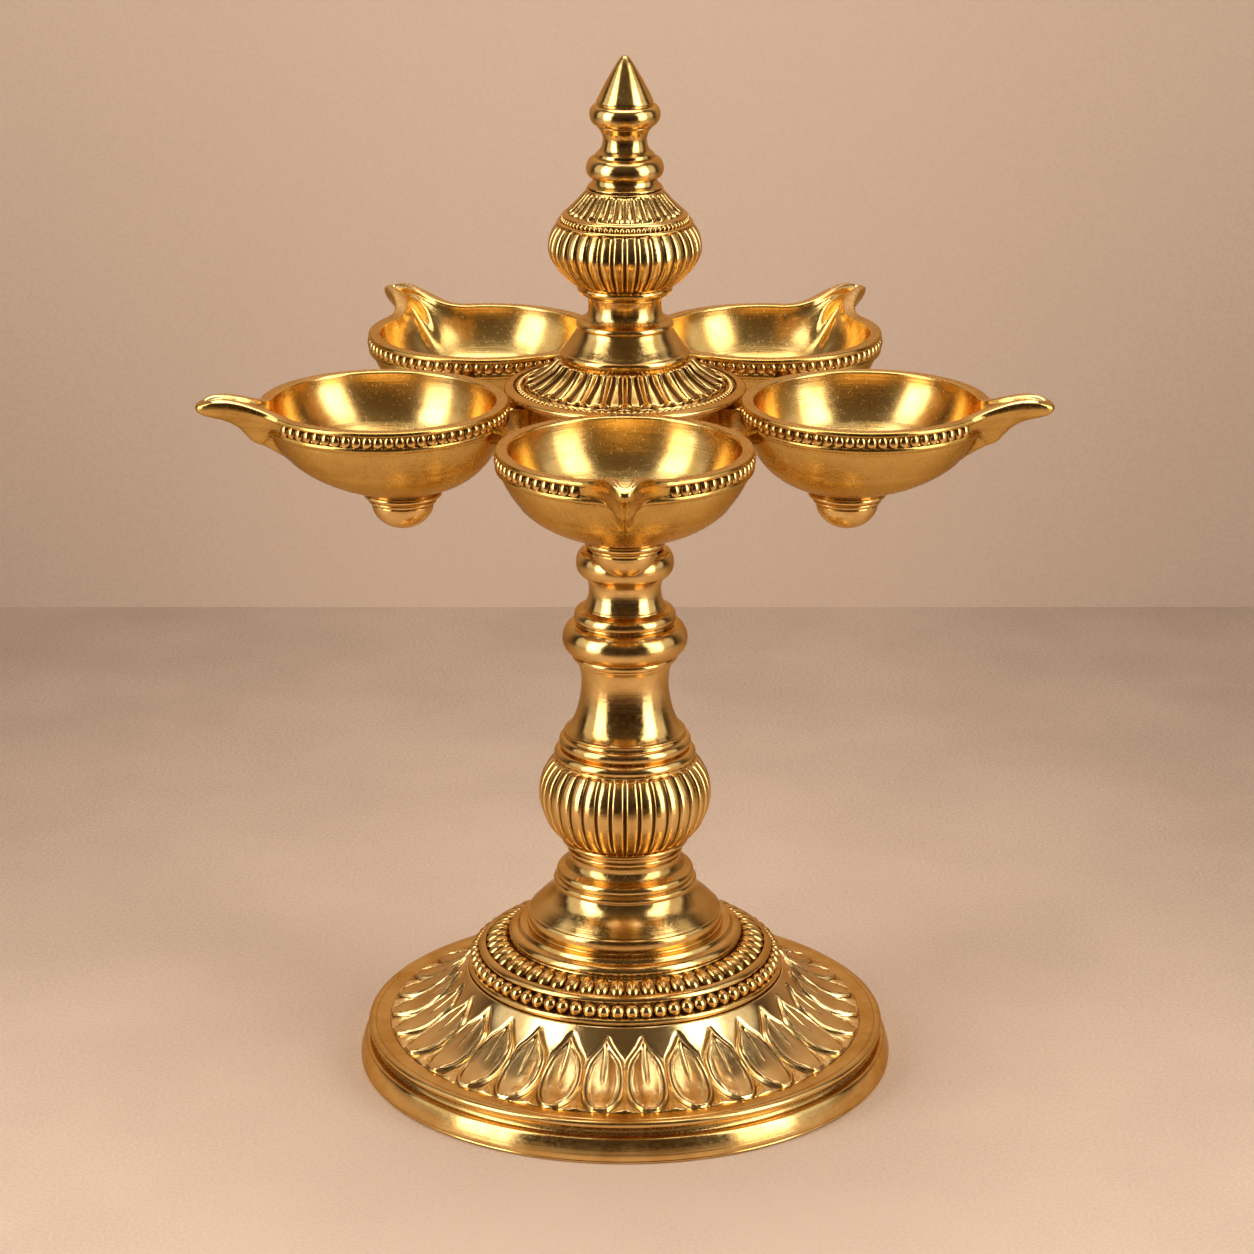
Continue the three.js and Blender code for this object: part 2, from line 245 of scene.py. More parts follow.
# Foot. One hollow brass casting, turned on its outside: a rolled rim, a flat flange, a skirt, and a
# stepped plinth. Its underside is left as cast, round a boss that takes the tie rod.
def through(points, step):
    """Points about one step apart on a smooth curve through the given ones. Between two of them it is
    a cubic, whose slope at each is the mean of the slopes on both sides, weighted by nearness."""
    points = np.asarray(points, float)
    gaps = np.linalg.norm(np.diff(points, axis=0), axis=1)
    slopes = np.diff(points, axis=0) / gaps[:, None]
    inner = slopes[:-1] * gaps[1:, None] + slopes[1:] * gaps[:-1, None]
    inner = inner / (gaps[:-1] + gaps[1:])[:, None]
    tangents = np.vstack([slopes[:1], inner, slopes[-1:]])
    pieces = []
    for i, gap in enumerate(gaps):
        count = max(1, math.ceil(gap / step))
        t = (np.arange(count) / count)[:, None]
        pieces.append((1 + 2 * t) * (1 - t) ** 2 * points[i] + t * (1 - t) ** 2 * gap * tangents[i]
                      + t ** 2 * (3 - 2 * t) * points[i + 1] + t ** 2 * (t - 1) * gap * tangents[i + 1])
    return np.vstack(pieces + [points[-1:]])


def ring(start, end, peak, step=0.35):
    """Half an ellipse from start to end, which stands out to the radius `peak` halfway."""
    (r0, z0), (r1, z1) = start, end
    turn = np.linspace(0, np.pi, max(6, math.ceil(math.hypot(r1 - r0, z1 - z0) * 1.6 / step)))
    share = (1 - np.cos(turn)) / 2
    return np.stack([r0 + (r1 - r0) * share + (peak - (r0 + r1) / 2) * np.sin(turn),
                     z0 + (z1 - z0) * share], axis=1)


bore, visible_edge = 3.4, 2.0


def straight_line(start, end, step):
    """Points along a straight line. One that runs in to the bore, or along it, is never seen, and has
    rows only near its outer end."""
    points = through([start, end], step)
    if min(start[0], end[0]) > bore:
        return points
    length = np.linalg.norm(points - points[0], axis=1)
    near_start = (length < visible_edge) & (start[0] > bore)
    kept = near_start | (length > length[-1] - visible_edge) & (end[0] > bore)
    kept[[0, -1]] = True
    return points[kept]


def outline(start, *runs, step=0.45):
    """One outline from its start on. A straight line leads to a point, a smooth curve goes through a
    list of points, and a ring is joined on by a straight line. Every corner is eased a little."""
    rows = [np.array([start], float)]
    for run in runs:
        last = rows[-1][-1]
        if isinstance(run, tuple):
            run = straight_line(last, run, step)
        elif isinstance(run, list):
            run = through([last, *run], step)
        elif np.linalg.norm(run[0] - last) > 1e-6:
            rows.append(straight_line(last, run[0], step)[1:])
        rows.append(run[1:])
    points = np.vstack(rows)
    ahead = np.roll(points, -1, axis=0) - points
    length = np.linalg.norm(ahead, axis=1, keepdims=True)
    along = ahead / np.maximum(length, 1e-9)
    bend = np.sum(along * np.roll(along, 1, axis=0), axis=1)
    sharp = bend < 0.8
    sharp[[0, -1]] = False
    ease = 0.06
    before = points - np.roll(along, 1, axis=0) * np.minimum(ease, np.roll(length, 1, axis=0) / 3)
    after = points + along * np.minimum(ease, length / 3)
    eased = [np.stack([b, a]) if corner else p[None]
             for p, b, a, corner in zip(points, before, after, sharp)]
    return np.vstack(eased)


def bored_outline(low, high, *runs, step=0.45):
    """The outline of a turning from its lower face to its upper one, with the tie rod's bore in it."""
    return outline((bore, low), *runs, (bore, high), (bore, low), step=step)


def normals_of(grid, closed):
    """The unit normals of a grid of points: the step to the next column crossed with the next row."""
    across = np.roll(grid, -1, axis=1) - np.roll(grid, 1, axis=1)
    if closed:
        up = np.roll(grid, -1, axis=0) - np.roll(grid, 1, axis=0)
    else:
        up = np.gradient(grid, axis=0)
    normal = np.cross(across, up)
    return normal / np.maximum(np.linalg.norm(normal, axis=2, keepdims=True), 1e-9)


def turned(profile, columns, closed=True, relief=None):
    """A profile carried round the axis: x is the radius times the sine of the angle and y minus its
    cosine, so that angle 0 faces the camera. `columns` is how many even steps there are, or the angles
    of every row. The relief moves each point along its normal: it is a height for each point, or is
    worked out from the angle, the radius and the height above the floor."""
    angle = np.arange(columns)[None, :] * 2 * np.pi / columns if isinstance(columns, int) else columns
    radius, height = profile[:, :1], profile[:, 1:]
    grid = np.stack([radius * np.sin(angle), -radius * np.cos(angle), height + 0 * angle], axis=2)
    if callable(relief):
        relief = relief(angle, radius, height)
    if relief is not None:
        grid = grid + normals_of(grid, closed) * relief[..., None]
    return grid


def recess_of(grid, closed, reach, reach_round=None):
    """How far each point lies under the mean of its neighbours along its normal, so grooves are
    positive and edges negative. They lie within `reach` up and down and within `reach_round` sideways."""
    mean, shifts = np.zeros_like(grid), []
    for way, far in ((0, reach), (1, reach_round or reach)):
        gap = np.median(np.linalg.norm(np.diff(grid, axis=way), axis=2))
        shifts += [(way, max(1, round(far / max(gap, 1e-6) * share))) for share in (0.4, 0.7, 1.0)]
    for way, steps in shifts:
        if way == 0 and not closed:
            padded = np.concatenate([np.repeat(grid[:1], steps, 0), grid, np.repeat(grid[-1:], steps, 0)])
            mean += padded[2 * steps:] + padded[:len(grid)]
        else:
            mean += np.roll(grid, steps, axis=way) + np.roll(grid, -steps, axis=way)
    return np.sum((mean / (2 * len(shifts)) - grid) * normals_of(grid, closed), axis=2)


def grid_faces(rows, columns, closed):
    """The four corners of each face of a grid, whose last column meets its first, and whose last row
    meets its first when it is closed."""
    row, column = np.meshgrid(np.arange(rows if closed else rows - 1), np.arange(columns), indexing="ij")
    next_row, next_column = (row + 1) % rows, (column + 1) % columns
    corners = [row * columns + column, row * columns + next_column,
               next_row * columns + next_column, next_row * columns + column]
    return np.stack([corner.ravel() for corner in corners], axis=1)


def make_piece(name, points, faces, materials, body, node, place=None, recess=None,
               slots_of_faces=None, axis=(0, axis_y)):
    """A smooth mesh in metres, carried into the lamp's frame. `place` is where each point lies beside
    the piece's own axis, in millimetres, and `recess` how deep it lies; the materials read both. The
    brushing runs round the axis, through the middle of the mesh's texture space."""
    points = points.reshape(-1, 3)
    mesh = bpy.data.meshes.new(name)
    mesh.from_pydata((points * mm).tolist(), [], faces.tolist(), shade_flat=False)
    mesh.use_auto_texspace = False
    mesh.texspace_location = (axis[0] * mm, axis[1] * mm, 0)
    mesh.texspace_size = (0.2, 0.2, 0.2)
    place = points - (0, axis_y, 0) if place is None else place
    mesh.attributes.new("place", "FLOAT_VECTOR", "POINT").data.foreach_set("vector", place.ravel())
    recess = np.zeros(len(points)) if recess is None else recess
    mesh.attributes.new("recess", "FLOAT", "POINT").data.foreach_set("value", recess.ravel())
    for material in materials:
        mesh.materials.append(material)
    if slots_of_faces is not None:
        mesh.polygons.foreach_set("material_index", slots_of_faces.astype(np.int32))
    welded = bmesh.new()
    welded.from_mesh(mesh)
    bmesh.ops.remove_doubles(welded, verts=welded.verts, dist=1e-7)
    welded.to_mesh(mesh)
    welded.free()
    piece = bpy.data.objects.new(name, mesh)
    bpy.context.scene.collection.objects.link(piece)
    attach(piece, body)
    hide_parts(node)


def turned_piece(name, profile, columns, material, body, node, slot="polished_brass", closed=True,
                 relief=None, reach=1.0, reach_round=None):
    """A piece of the column, turned about the lamp's axis."""
    grid = turned(profile, columns, closed, relief)
    make_piece(name, grid + (0, axis_y, 0), grid_faces(*grid.shape[:2], closed), [material], body, node,
               recess=recess_of(grid, closed, reach, reach_round))


def new_group(name, taken, put_out):
    """A node group with its inputs and outputs, each a name and a kind of socket."""
    group = bpy.data.node_groups.new(name, "ShaderNodeTree")
    for way, sockets in (("INPUT", taken), ("OUTPUT", put_out)):
        for socket, kind in sockets.items():
            group.interface.new_socket(socket, in_out=way, socket_type="NodeSocket" + kind)
    return group, group.nodes.new("NodeGroupInput").outputs


def turning_marks():
    """Fine rings left by the tool: a noise of radius and height, drawn out round the axis, with a
    coarser one that makes some rings deeper."""
    group, given = new_group("turning_marks", {"Place": "Vector", "Rings per mm": "Float"},
                             {"Height": "Float"})
    x, y, z = add_node(group, "SeparateXYZ", Vector=given["Place"]).outputs
    radius = maths(group, "SQRT", maths(group, "ADD", maths(group, "MULTIPLY", x, x),
                                        maths(group, "MULTIPLY", y, y)))
    spot = add_node(group, "CombineXYZ", X=maths(group, "MULTIPLY", radius, given["Rings per mm"]),
                    Y=maths(group, "MULTIPLY", z, given["Rings per mm"]),
                    Z=maths(group, "MULTIPLY", x, 0.05)).outputs[0]
    sideways = maths(group, "MULTIPLY", y, 0.05)
    fine = noise(group, spot, 1.0, 3.0, {"noise_dimensions": "4D"}, W=sideways)
    coarse = noise(group, spot, 0.23, 1.0, {"noise_dimensions": "4D"}, W=sideways)
    result = maths(group, "ADD", fine, maths(group, "MULTIPLY", coarse, 0.8))
    feed(group.nodes.new("NodeGroupOutput"), Height=result)
    return group


def aged_brass():
    """The tone of handled brass: warm cloudy patches, brown tarnish that gathers in the recesses and
    thins out on the edges, and a few dark specks."""
    group, given = new_group("aged_brass", {
        "Place": "Vector", "Recess": "Float", "Bright": "Color", "Warm": "Color", "Tarnish": "Color",
        "Tarnish amount": "Float"}, {"Color": "Color", "Tarnished": "Float", "Clouds": "Float"})
    clouds = noise(group, given["Place"], 0.09, 6.0, Roughness=0.6)
    mottle = noise(group, given["Place"], 0.9, 5.0, Roughness=0.65)
    specks = noise(group, given["Place"], 1.9, 2.0)
    uneven = maths(group, "MULTIPLY", maths(group, "SUBTRACT", mottle, 0.5), 0.05)
    depth = maths(group, "ADD", given["Recess"], uneven)
    tarnished = maths(group, "MULTIPLY", ramp(group, depth, 0.01, 0.13), given["Tarnish amount"])
    worn = ramp(group, depth, -0.03, -0.2)
    tone = mix_colours(group, ramp(group, clouds, 0.35, 0.68), given["Bright"], given["Warm"])
    tone = mix_colours(group, maths(group, "MULTIPLY", worn, 0.6), tone, given["Bright"])
    tone = mix_colours(group, tarnished, tone, given["Tarnish"])
    tone = mix_colours(group, ramp(group, specks, 0.73, 0.79, 0.0, 0.6), tone, given["Tarnish"])
    feed(group.nodes.new("NodeGroupOutput"), Color=tone, Tarnished=tarnished, Clouds=mottle)
    return group


marks_group, aging_group = turning_marks(), aged_brass()
bright_tone, warm_tone = (0.82, 0.56, 0.215, 1), (0.66, 0.40, 0.125, 1)
tarnish_tone = (0.10, 0.042, 0.012, 1)


def brass(name, bright=bright_tone, warm=warm_tone, tarnish=tarnish_tone, *, amount=0.85, smooth, dull,
          rings=3.0, ring_depth, reads_attributes=True):
    """Brass with its own amount of tarnish, its roughness from smooth to dull, and turning marks as
    rings per millimetre. A carried-over solid has no attributes, so there the place comes from the
    object's coordinates, centred on the lamp's axis."""
    material, tree, shader = new_material(name)
    if reads_attributes:
        place = add_node(tree, "Attribute", {"attribute_name": "place"}).outputs["Vector"]
        recess = add_node(tree, "Attribute", {"attribute_name": "recess"}).outputs["Fac"]
    else:
        at_axis = add_node(tree, "Mapping", Vector=add_node(tree, "TexCoord").outputs["Object"],
                           Location=(0, -axis_y, 0), Scale=(1000, 1000, 1000))
        place, recess = at_axis.outputs[0], 0.0
    aging = add_node(tree, "Group", {"node_tree": aging_group}, Place=place, Recess=recess, Bright=bright,
                     Warm=warm, Tarnish=tarnish, Tarnish_amount=amount).outputs
    marks = add_node(tree, "Group", {"node_tree": marks_group}, Place=place, Rings_per_mm=rings)
    rough = ramp(tree, aging["Clouds"], 0.3, 0.75, smooth, dull)
    rough = maths(tree, "ADD", rough, maths(tree, "MULTIPLY", aging["Tarnished"], 0.22))
    height = maths(tree, "ADD", maths(tree, "MULTIPLY", marks.outputs[0], ring_depth),
                   maths(tree, "MULTIPLY", aging["Clouds"], 0.05))
    bump = add_node(tree, "Bump", Height=height, Distance=0.00006, Strength=1.0)
    feed(shader, Base_Color=aging["Color"], Metallic=1.0, Anisotropic=0.7, Anisotropic_Rotation=0.25,
         Specular_Tint=(0.78, 0.6, 0.4, 1), Roughness=rough, Normal=bump.outputs[0])
    return material


polished = brass("polished_brass", smooth=0.13, dull=0.27, rings=4.0, ring_depth=0.5)

foot_outline = bored_outline(
    31, 42.8, (12, 31), (12, 36.8), (29, 36.8), (44.2, 26.6), [(56, 15.8), (66.2, 8.8)], (74.4, 8.8),
    (74.4, 0), (79.6, 0), [(80, 0.2), (80.2, 0.7)], (80, 0.95), [(80.25, 1.3), (80.1, 2.6),
    (79.6, 4.6), (78.9, 6.6)], [(78.6, 7.1), (78, 7.3)], [(76.2, 7.4), (75.8, 8.5), (76.2, 9.8)],
    [(77.4, 10), (77.8, 10.8), (77.6, 11.6), (77, 12)], (75.9, 12.05), (75.65, 11.8), (75.4, 12.05),
    (69.8, 12), (69, 11.2), [(63.6, 12.4), (57, 16.4), (51.2, 21.4), (46.9, 27.4)], (46.9, 28.4),
    ring((46.9, 28.4), (46.7, 30.3), 47.4), [(45.2, 30.7), (43.7, 32), (43.1, 33.7)],
    ring((43.1, 33.8), (42.1, 36.1), 44.1), (42.1, 36), (41.6, 35.2), (34.9, 37.6), (34.8, 38.8),
    ring((34.4, 38.8), (33.4, 41.4), 34.95), (32.2, 41.6), (31.6, 42.8), (31.2, 42.8), step=0.8)
turned_piece("foot_casting", foot_outline, 216, polished, "root", "foot", reach=1.2)


# Petals of the foot. A band of thirty lotus petals chased into the skirt: each is a low rounded leaf
# with a vein, inside a channel and a raised edge, and a small dart fills each gap below.
def smooth_step(value, low, high):
    """From 0 at low to 1 at high, along a cubic that is level at both."""
    t = np.clip((value - low) / (high - low), 0, 1)
    return t * t * (3 - 2 * t)


def bell_curve(value, middle, width):
    """1 at the middle, falling off as the normal curve does over the width."""
    return np.exp(-((value - middle) / width) ** 2)


def stretch(curve, places):
    """The curve at the given distances along it."""
    length = np.concatenate([[0], np.cumsum(np.linalg.norm(np.diff(curve, axis=0), axis=1))])
    return np.stack([np.interp(places, length, side) for side in curve.T], axis=1)


def edge_distance(edge, across, up):
    """How far each point lies outside the petal's edge; inside it the distance is negative."""
    start, step = edge[:-1], np.diff(edge, axis=0)
    point = np.stack([np.abs(across), up + 0 * across], axis=-1)[..., None, :]
    along = np.clip(np.sum((point - start) * step, axis=-1) / np.sum(step * step, axis=-1), 0, 1)
    gap = np.linalg.norm(point - start - along[..., None] * step, axis=-1).min(axis=-1)
    return np.where(np.abs(across) < np.interp(up, edge[:, 1], edge[:, 0], left=0), -gap, gap)


def petal_band(line, up, count, edge, inner, outer, height_of, low_fade, high_fade):
    """A band of petals round the axis, on the line: its curve, and the angle and chased height of each
    point. The columns follow a petal's edge, at the inner shares of its half width and then at the
    outer shares of the room left. The height is worked out from the place across and up the petal and
    the distance from its edge, and fades at both ends. The edge of two petals faces the camera."""
    curve = stretch(line, up)
    radius, up = curve[:, :1], np.array(up)[:, None]
    room = np.pi * radius / count
    least_half, least_gap = 0.25, 0.2
    half = np.clip(np.interp(up, edge[:, 1], edge[:, 0]), least_half, None)
    half = np.minimum(half, room - least_gap)
    right = np.hstack([half * inner, half + (room - half) * outer])
    across = np.hstack([-right[:, ::-1], right[:, 1:-1]])
    height = height_of(across, up, edge_distance(edge, across, up), room)
    height = height * smooth_step(up, *low_fade) * smooth_step(up[-1] - up, *high_fade)
    middle = (np.arange(count) + 0.5) * 2 * np.pi / count
    angles = middle[None, :, None] + (across / radius)[:, None, :]
    return curve, angles.reshape(len(up), -1), np.tile(height, (1, count))


skirt_line = through([(71.3, 12.12), (69, 12.75), (64.2, 14.1), (58, 17.7), (52.2, 22.6),
                      (47.6, 28.6)], 0.1)
skirt_up = [*np.arange(0, 3.5, 0.27), *np.arange(3.5, 21, 0.54), *np.arange(21, 29.5, 0.4)]
petal_edge = through([(0, 0.25), (2.1, 0.45), (3.6, 1.9), (5.1, 4.6), (5.9, 8.2), (6.12, 11.4),
                      (5.8, 15.1), (5.25, 17.7), (4.4, 19.7), (3, 21.6), (2.05, 22.9), (1.05, 24.4),
                      (0.4, 25.6), (0, 26.3)], 0.3)


def petal_height(across, up, away, room):
    """The chased height by the distance `away` from the petal's edge: a raised edge, a channel inside
    it that closes towards both ends, and a low round leaf with a vein. Below, a dart fills each gap."""
    low_part = smooth_step(up, 1.5, 4.5) * (1 - smooth_step(up, 17, 23))
    inside = np.clip((-away - 1.35) / 3.6, 0, 1)
    leaf = smooth_step(-away, 0.0, 0.5) * 0.45 + 0.32 * inside * (2 - inside)
    raised_edge = 0.38 * bell_curve(away, -0.45, 0.3) + 0.24 * bell_curve(away, -1.65, 0.3) * low_part
    ditch = -0.42 * bell_curve(away, -1.05, 0.28) * low_part - 0.45 * bell_curve(away, 0.3, 0.35)
    vein = bell_curve(across, 0, 0.16 + 0.1 * smooth_step(up, 13, 20))
    vein = -0.42 * vein * smooth_step(up, 10, 15) * smooth_step(25.0 - up, 0, 1.5)
    from_gap = room - np.abs(across)
    dart = 0.5 * smooth_step(2.4 * (1 - up / 6.5) - from_gap, 0, 0.7) * smooth_step(away, 0.1, 0.4)
    return leaf + raised_edge + ditch + vein + dart


chased = brass("chased_brass", (0.94, 0.70, 0.33, 1), (0.82, 0.55, 0.22, 1), smooth=0.17, dull=0.27,
               ring_depth=0.2)
skirt_petals = 30
skirt_inner = [0, 0.035, 0.09, 0.22, 0.38, 0.52, 0.62, 0.69, 0.745, 0.795, 0.845, 0.895, 0.935, 0.97, 1]
skirt_outer = [0.06, 0.15, 0.27, 0.42, 0.6, 0.8, 1]
skirt_curve, skirt_angles, skirt_heights = petal_band(
    skirt_line, skirt_up, skirt_petals, petal_edge, skirt_inner, skirt_outer, petal_height,
    low_fade=(0, 0.5), high_fade=(0.2, 1.5))
skirt_back = through([(47.0, 28.2), (56.6, 17.4), (69.2, 11.4)], 6)
back_share = np.linspace(0, 1, len(skirt_back))[:, None]
back_angles = skirt_angles[-1] * (1 - back_share) + skirt_angles[0] * back_share
turned_piece("petal_skirt", np.vstack([skirt_curve, skirt_back]), np.vstack([skirt_angles, back_angles]),
             chased, "root", "foot", relief=np.vstack([skirt_heights, 0 * back_angles]), reach=0.8)


# Bead ring and gadroon ring of the foot. Round beads lie in the step over the skirt, and long ones
# side by side on the slope above it, cast with the foot and sharpened by hand.
def ball(rings, segments):
    """A unit ball as points and three-sided faces, with one point at each pole."""
    polar = np.linspace(0, np.pi, rings + 1)[1:-1]
    turn = np.arange(segments) * 2 * np.pi / segments
    body = np.stack([np.outer(np.sin(polar), np.cos(turn)), np.outer(np.sin(polar), np.sin(turn)),
                     np.outer(np.cos(polar), np.ones(segments))], axis=2).reshape(-1, 3)
    points = np.vstack([body, [(0, 0, 1), (0, 0, -1)]])
    quads = grid_faces(rings - 1, segments, False)[:, ::-1]
    faces = np.vstack([quads[:, [0, 1, 2]], quads[:, [0, 2, 3]]])
    first, last = np.arange(segments), (rings - 2) * segments + np.arange(segments)
    top = np.stack([np.full(segments, len(body)), first, np.roll(first, -1)], axis=1)
    bottom = np.stack([np.full(segments, len(body) + 1), np.roll(last, -1), last], axis=1)
    return points, np.vstack([faces, top, bottom])


def beads(radius, height, angles, size, tilt=0.0, detail=(7, 10), taper=0.0):
    """Balls set round an axis. `size` is half their width round the ring, out of the face and along
    it; the face leans back by the tilt, and a taper narrows a bead towards its upper end."""
    shape, faces = ball(*detail)
    shape = shape * size
    shape[:, 0] *= 1 - taper * shape[:, 2] / size[2]
    out = shape[:, 1] * math.cos(tilt) - shape[:, 2] * math.sin(tilt)
    up = shape[:, 1] * math.sin(tilt) + shape[:, 2] * math.cos(tilt)
    sine, cosine = np.sin(angles)[:, None], np.cos(angles)[:, None]
    x = (radius + out) * sine + shape[:, 0] * cosine
    y = -(radius + out) * cosine + shape[:, 0] * sine
    points = np.stack([x, y, height + up + 0 * x], axis=2)
    all_faces = faces[None] + (np.arange(len(angles)) * len(shape))[:, None, None]
    recess = np.broadcast_to(0.16 - 0.36 * shape[:, 1] / size[1], x.shape)
    return points.reshape(-1, 3), all_faces.reshape(-1, 3), recess.reshape(-1)


beaded = brass("beaded_brass", amount=0.95, smooth=0.14, dull=0.24, ring_depth=0.1)


def bead_piece(name, count, body, node, **how):
    """A ring of evenly spaced beads round the lamp's axis, with a gap towards the camera."""
    points, faces, recess = beads(angles=(np.arange(count) + 0.5) * 2 * np.pi / count, **how)
    make_piece(name, points + (0, axis_y, 0), faces, [beaded], body, node,
               recess=recess)


bead_piece("foot_beads", 68, "root", "foot", radius=45.1, height=32.2, size=(2.08, 1.8, 2.1), tilt=0.6,
           detail=(9, 14))
bead_piece("foot_gadroons", 54, "root", "foot", radius=38.6, height=36.8, size=(2.2, 1.75, 3.6), tilt=1.2,
           taper=0.09, detail=(12, 14))


# Bell collar. A flared brass turning over the foot's plinth, with a pair of rings and a short neck.
def turning(node, low, high, *runs, step=0.45, columns=128, body="root", **how):
    """A polished turning with the tie rod's bore in it, from its lower face to its upper one."""
    profile = bored_outline(low, high, *runs, step=step)
    turned_piece(f"{node}_turning", profile, columns, polished, body, node, **how)


turning("bell_collar", 42.8, 67, (29.4, 42.8), (29.4, 43.4), ring((28.6, 43.6), (28.4, 47.3), 29.1),
        (28, 47.8), [(25.6, 50.2), (23.2, 52.3), (21.7, 54.3), (21.1, 55.9)], ring((21.1, 55.9),
        (20.8, 57.6), 21.4), (20.1, 57.9), (20.1, 58.3), ring((20.1, 58.3), (19.6, 60.6), 20.5),
        (19.2, 60.8), [(17.4, 61.9), (16.7, 63.3), (16.6, 65.2)], (17.2, 66.2), (17.2, 67), columns=144)


# Fluted knop. A round brass knop on a ring, cut with upright flutes that run out at both ends.
flutes = 36


def fluting(low, high, depth):
    """Broad, nearly flat ribs with a narrow groove between them: the rib falls off with the square of
    the share from its middle to the groove, the groove is a bell curve in millimetres, and both die
    away at the two ends."""
    def relief(angle, radius, height):
        along = np.clip((height - low) / (high - low), 0, 1)
        fade = np.sin(np.pi * along) ** 0.22 * (radius > 8)
        pitch = 2 * np.pi / flutes
        from_groove = np.abs((angle + pitch / 2) % pitch - pitch / 2)
        rib = 0.34 * (1 - (1 - 2 * from_groove / pitch) ** 2) - 0.28
        return depth * fade * (rib - 0.72 * bell_curve(from_groove * radius, 0, 0.42))
    return relief


columns_per_flute = 18
turning("fluted_knop", 67, 95.6, (16.5, 67), (16.4, 68.2), ring((16.8, 68.3), (17.6, 70.6), 18.9),
        (17.5, 71.1), [(19.4, 71.2), (21.1, 72.6), (22.6, 74.4), (24.2, 77.6), (25.2, 80.8),
        (25.6, 84.1), (25.3, 87.2), (24.4, 90.3), (22.9, 92.9), (21.6, 94.5)], (20.6, 94.9),
        (20.6, 95.6), step=0.4, columns=flutes * columns_per_flute, relief=fluting(71.0, 94.9, 1.15),
        reach=0.7, reach_round=1.15)


# Knop cap. A stack of turned rings on the knop, each narrower than the one below.
turning("knop_cap", 95.6, 103.2, (20.2, 95.6), ring((20.2, 95.6), (19.4, 98.7), 21), (19.2, 98.7),
        (18.5, 98.9), ring((18.6, 99), (18.2, 102.4), 19.6), (18, 102.5), (17.8, 103.2))


# Stem waist. A plain drawn-in length of the column, polished in the lathe.
turning("stem_waist", 103.2, 126.1, (17.9, 103.2), [(18, 103.9), (17.5, 104.3)], [(16, 106), (15, 108),
        (14.2, 110.4), (13.5, 113.4), (13, 117), (12.9, 119.6), (13.3, 122.8), (13.9, 124.8),
        (14.4, 125.6)], (14.4, 126.1))


# Ring knop. One large round ring between pairs of small ones, turned from one piece.
turning("ring_knop", 126.1, 142.5, (14.8, 126.1), ring((14.8, 126.1), (15, 128.2), 15.6), (14.9, 128.4),
        (15.6, 128.6), ring((15.6, 128.6), (15, 137.4), 18.5), (14.4, 137.6), (14.3, 138.1),
        ring((14.3, 138.1), (13.6, 141.6), 15), (13.3, 141.7), (12, 142.1), (12, 142.5))


# Top collar. The neck of the column and the round collar that the ring of cups turns on.
turning("top_collar", 142.5, 160, (11.8, 142.5), [(11, 145), (10.6, 147.8), (11, 150.2), (11.8, 151.6)],
        (12.3, 152.2), ring((12.3, 152.2), (12.2, 159.6), 14.4), (12.2, 160))


# Tie rod, washer and nut. Plain dull brass, hidden inside the column and under the foot, so the CAD
# solids are kept and only get a finish.
raw = brass("raw_brass", (0.5, 0.36, 0.16, 1), (0.38, 0.24, 0.09, 1), (0.12, 0.06, 0.02, 1), amount=0.8,
            smooth=0.38, dull=0.6, rings=2.0, ring_depth=0.6, reads_attributes=False)
for hidden in ("tie_rod", "rod_washer", "rod_nut"):
    solid = frame["nodes"][hidden]
    solid.data.materials.clear()
    solid.data.materials.append(raw)


# Hub. A trumpet-shaped casting under the canopy, with a drum that carries one lug to each cup.
satin = brass("satin_brass", (0.76, 0.50, 0.17, 1), (0.62, 0.37, 0.11, 1), smooth=0.24, dull=0.38,
              ring_depth=0.6)
hub_outline = bored_outline(
    160.3, 207.2, (11, 160.3), [(11.4, 160.8), (11.4, 162.6)], (11, 163), [(11.9, 171), (14.8, 181),
    (20, 189.6), (26.8, 195)], (29.8, 195.6), ring((29.8, 195.6), (30.3, 197.6), 30.9),
    (30.2, 197.7), [(30.5, 201.6), (30.2, 205.4)], ring((30.2, 205.4), (29.6, 207.2), 30.9),
    step=0.8)
turned_piece("hub_casting", hub_outline, 160, satin, "cup_ring", "hub", slot="satin_brass", reach=1.4)

cup_count, cup_radius, lip_height = 5, 71.8, 210.7


def in_place(points, index, radius=cup_radius, height=lip_height):
    """Points of cup number index, from the frame of its lip into the lamp's: out by the radius, up by
    the height, and round the axis by a fifth of a turn for each cup."""
    turn = index * 2 * np.pi / cup_count
    x, y = points[..., 0], points[..., 1] - radius
    return np.stack([x * np.cos(turn) - y * np.sin(turn), axis_y + x * np.sin(turn) + y * np.cos(turn),
                     points[..., 2] + height], axis=-1)


def bar(length, width, height, rounding, steps=10):
    """A straight bar along x with rounded long edges: a rounded rectangle carried from end to end."""
    turn = (np.arange(4 * steps) + 0.5) * 2 * np.pi / (4 * steps)
    corner_y = np.sign(np.cos(turn)) * (width / 2 - rounding) + rounding * np.cos(turn)
    corner_z = np.sign(np.sin(turn)) * (height / 2 - rounding) + rounding * np.sin(turn)
    stations = np.array([-length / 2, -length / 2, length / 2, length / 2])
    fill = np.array([0, 1, 1, 0])
    return np.stack([stations[:, None] + 0 * turn, fill[:, None] * corner_y, fill[:, None] * corner_z],
                    axis=2)


def bar_piece(name, points, node):
    """A bar of the ring of cups, with its faces turned outwards."""
    faces = grid_faces(*points.shape[:2], False)[:, ::-1]
    make_piece(name, points, faces, [satin], "cup_ring", node)


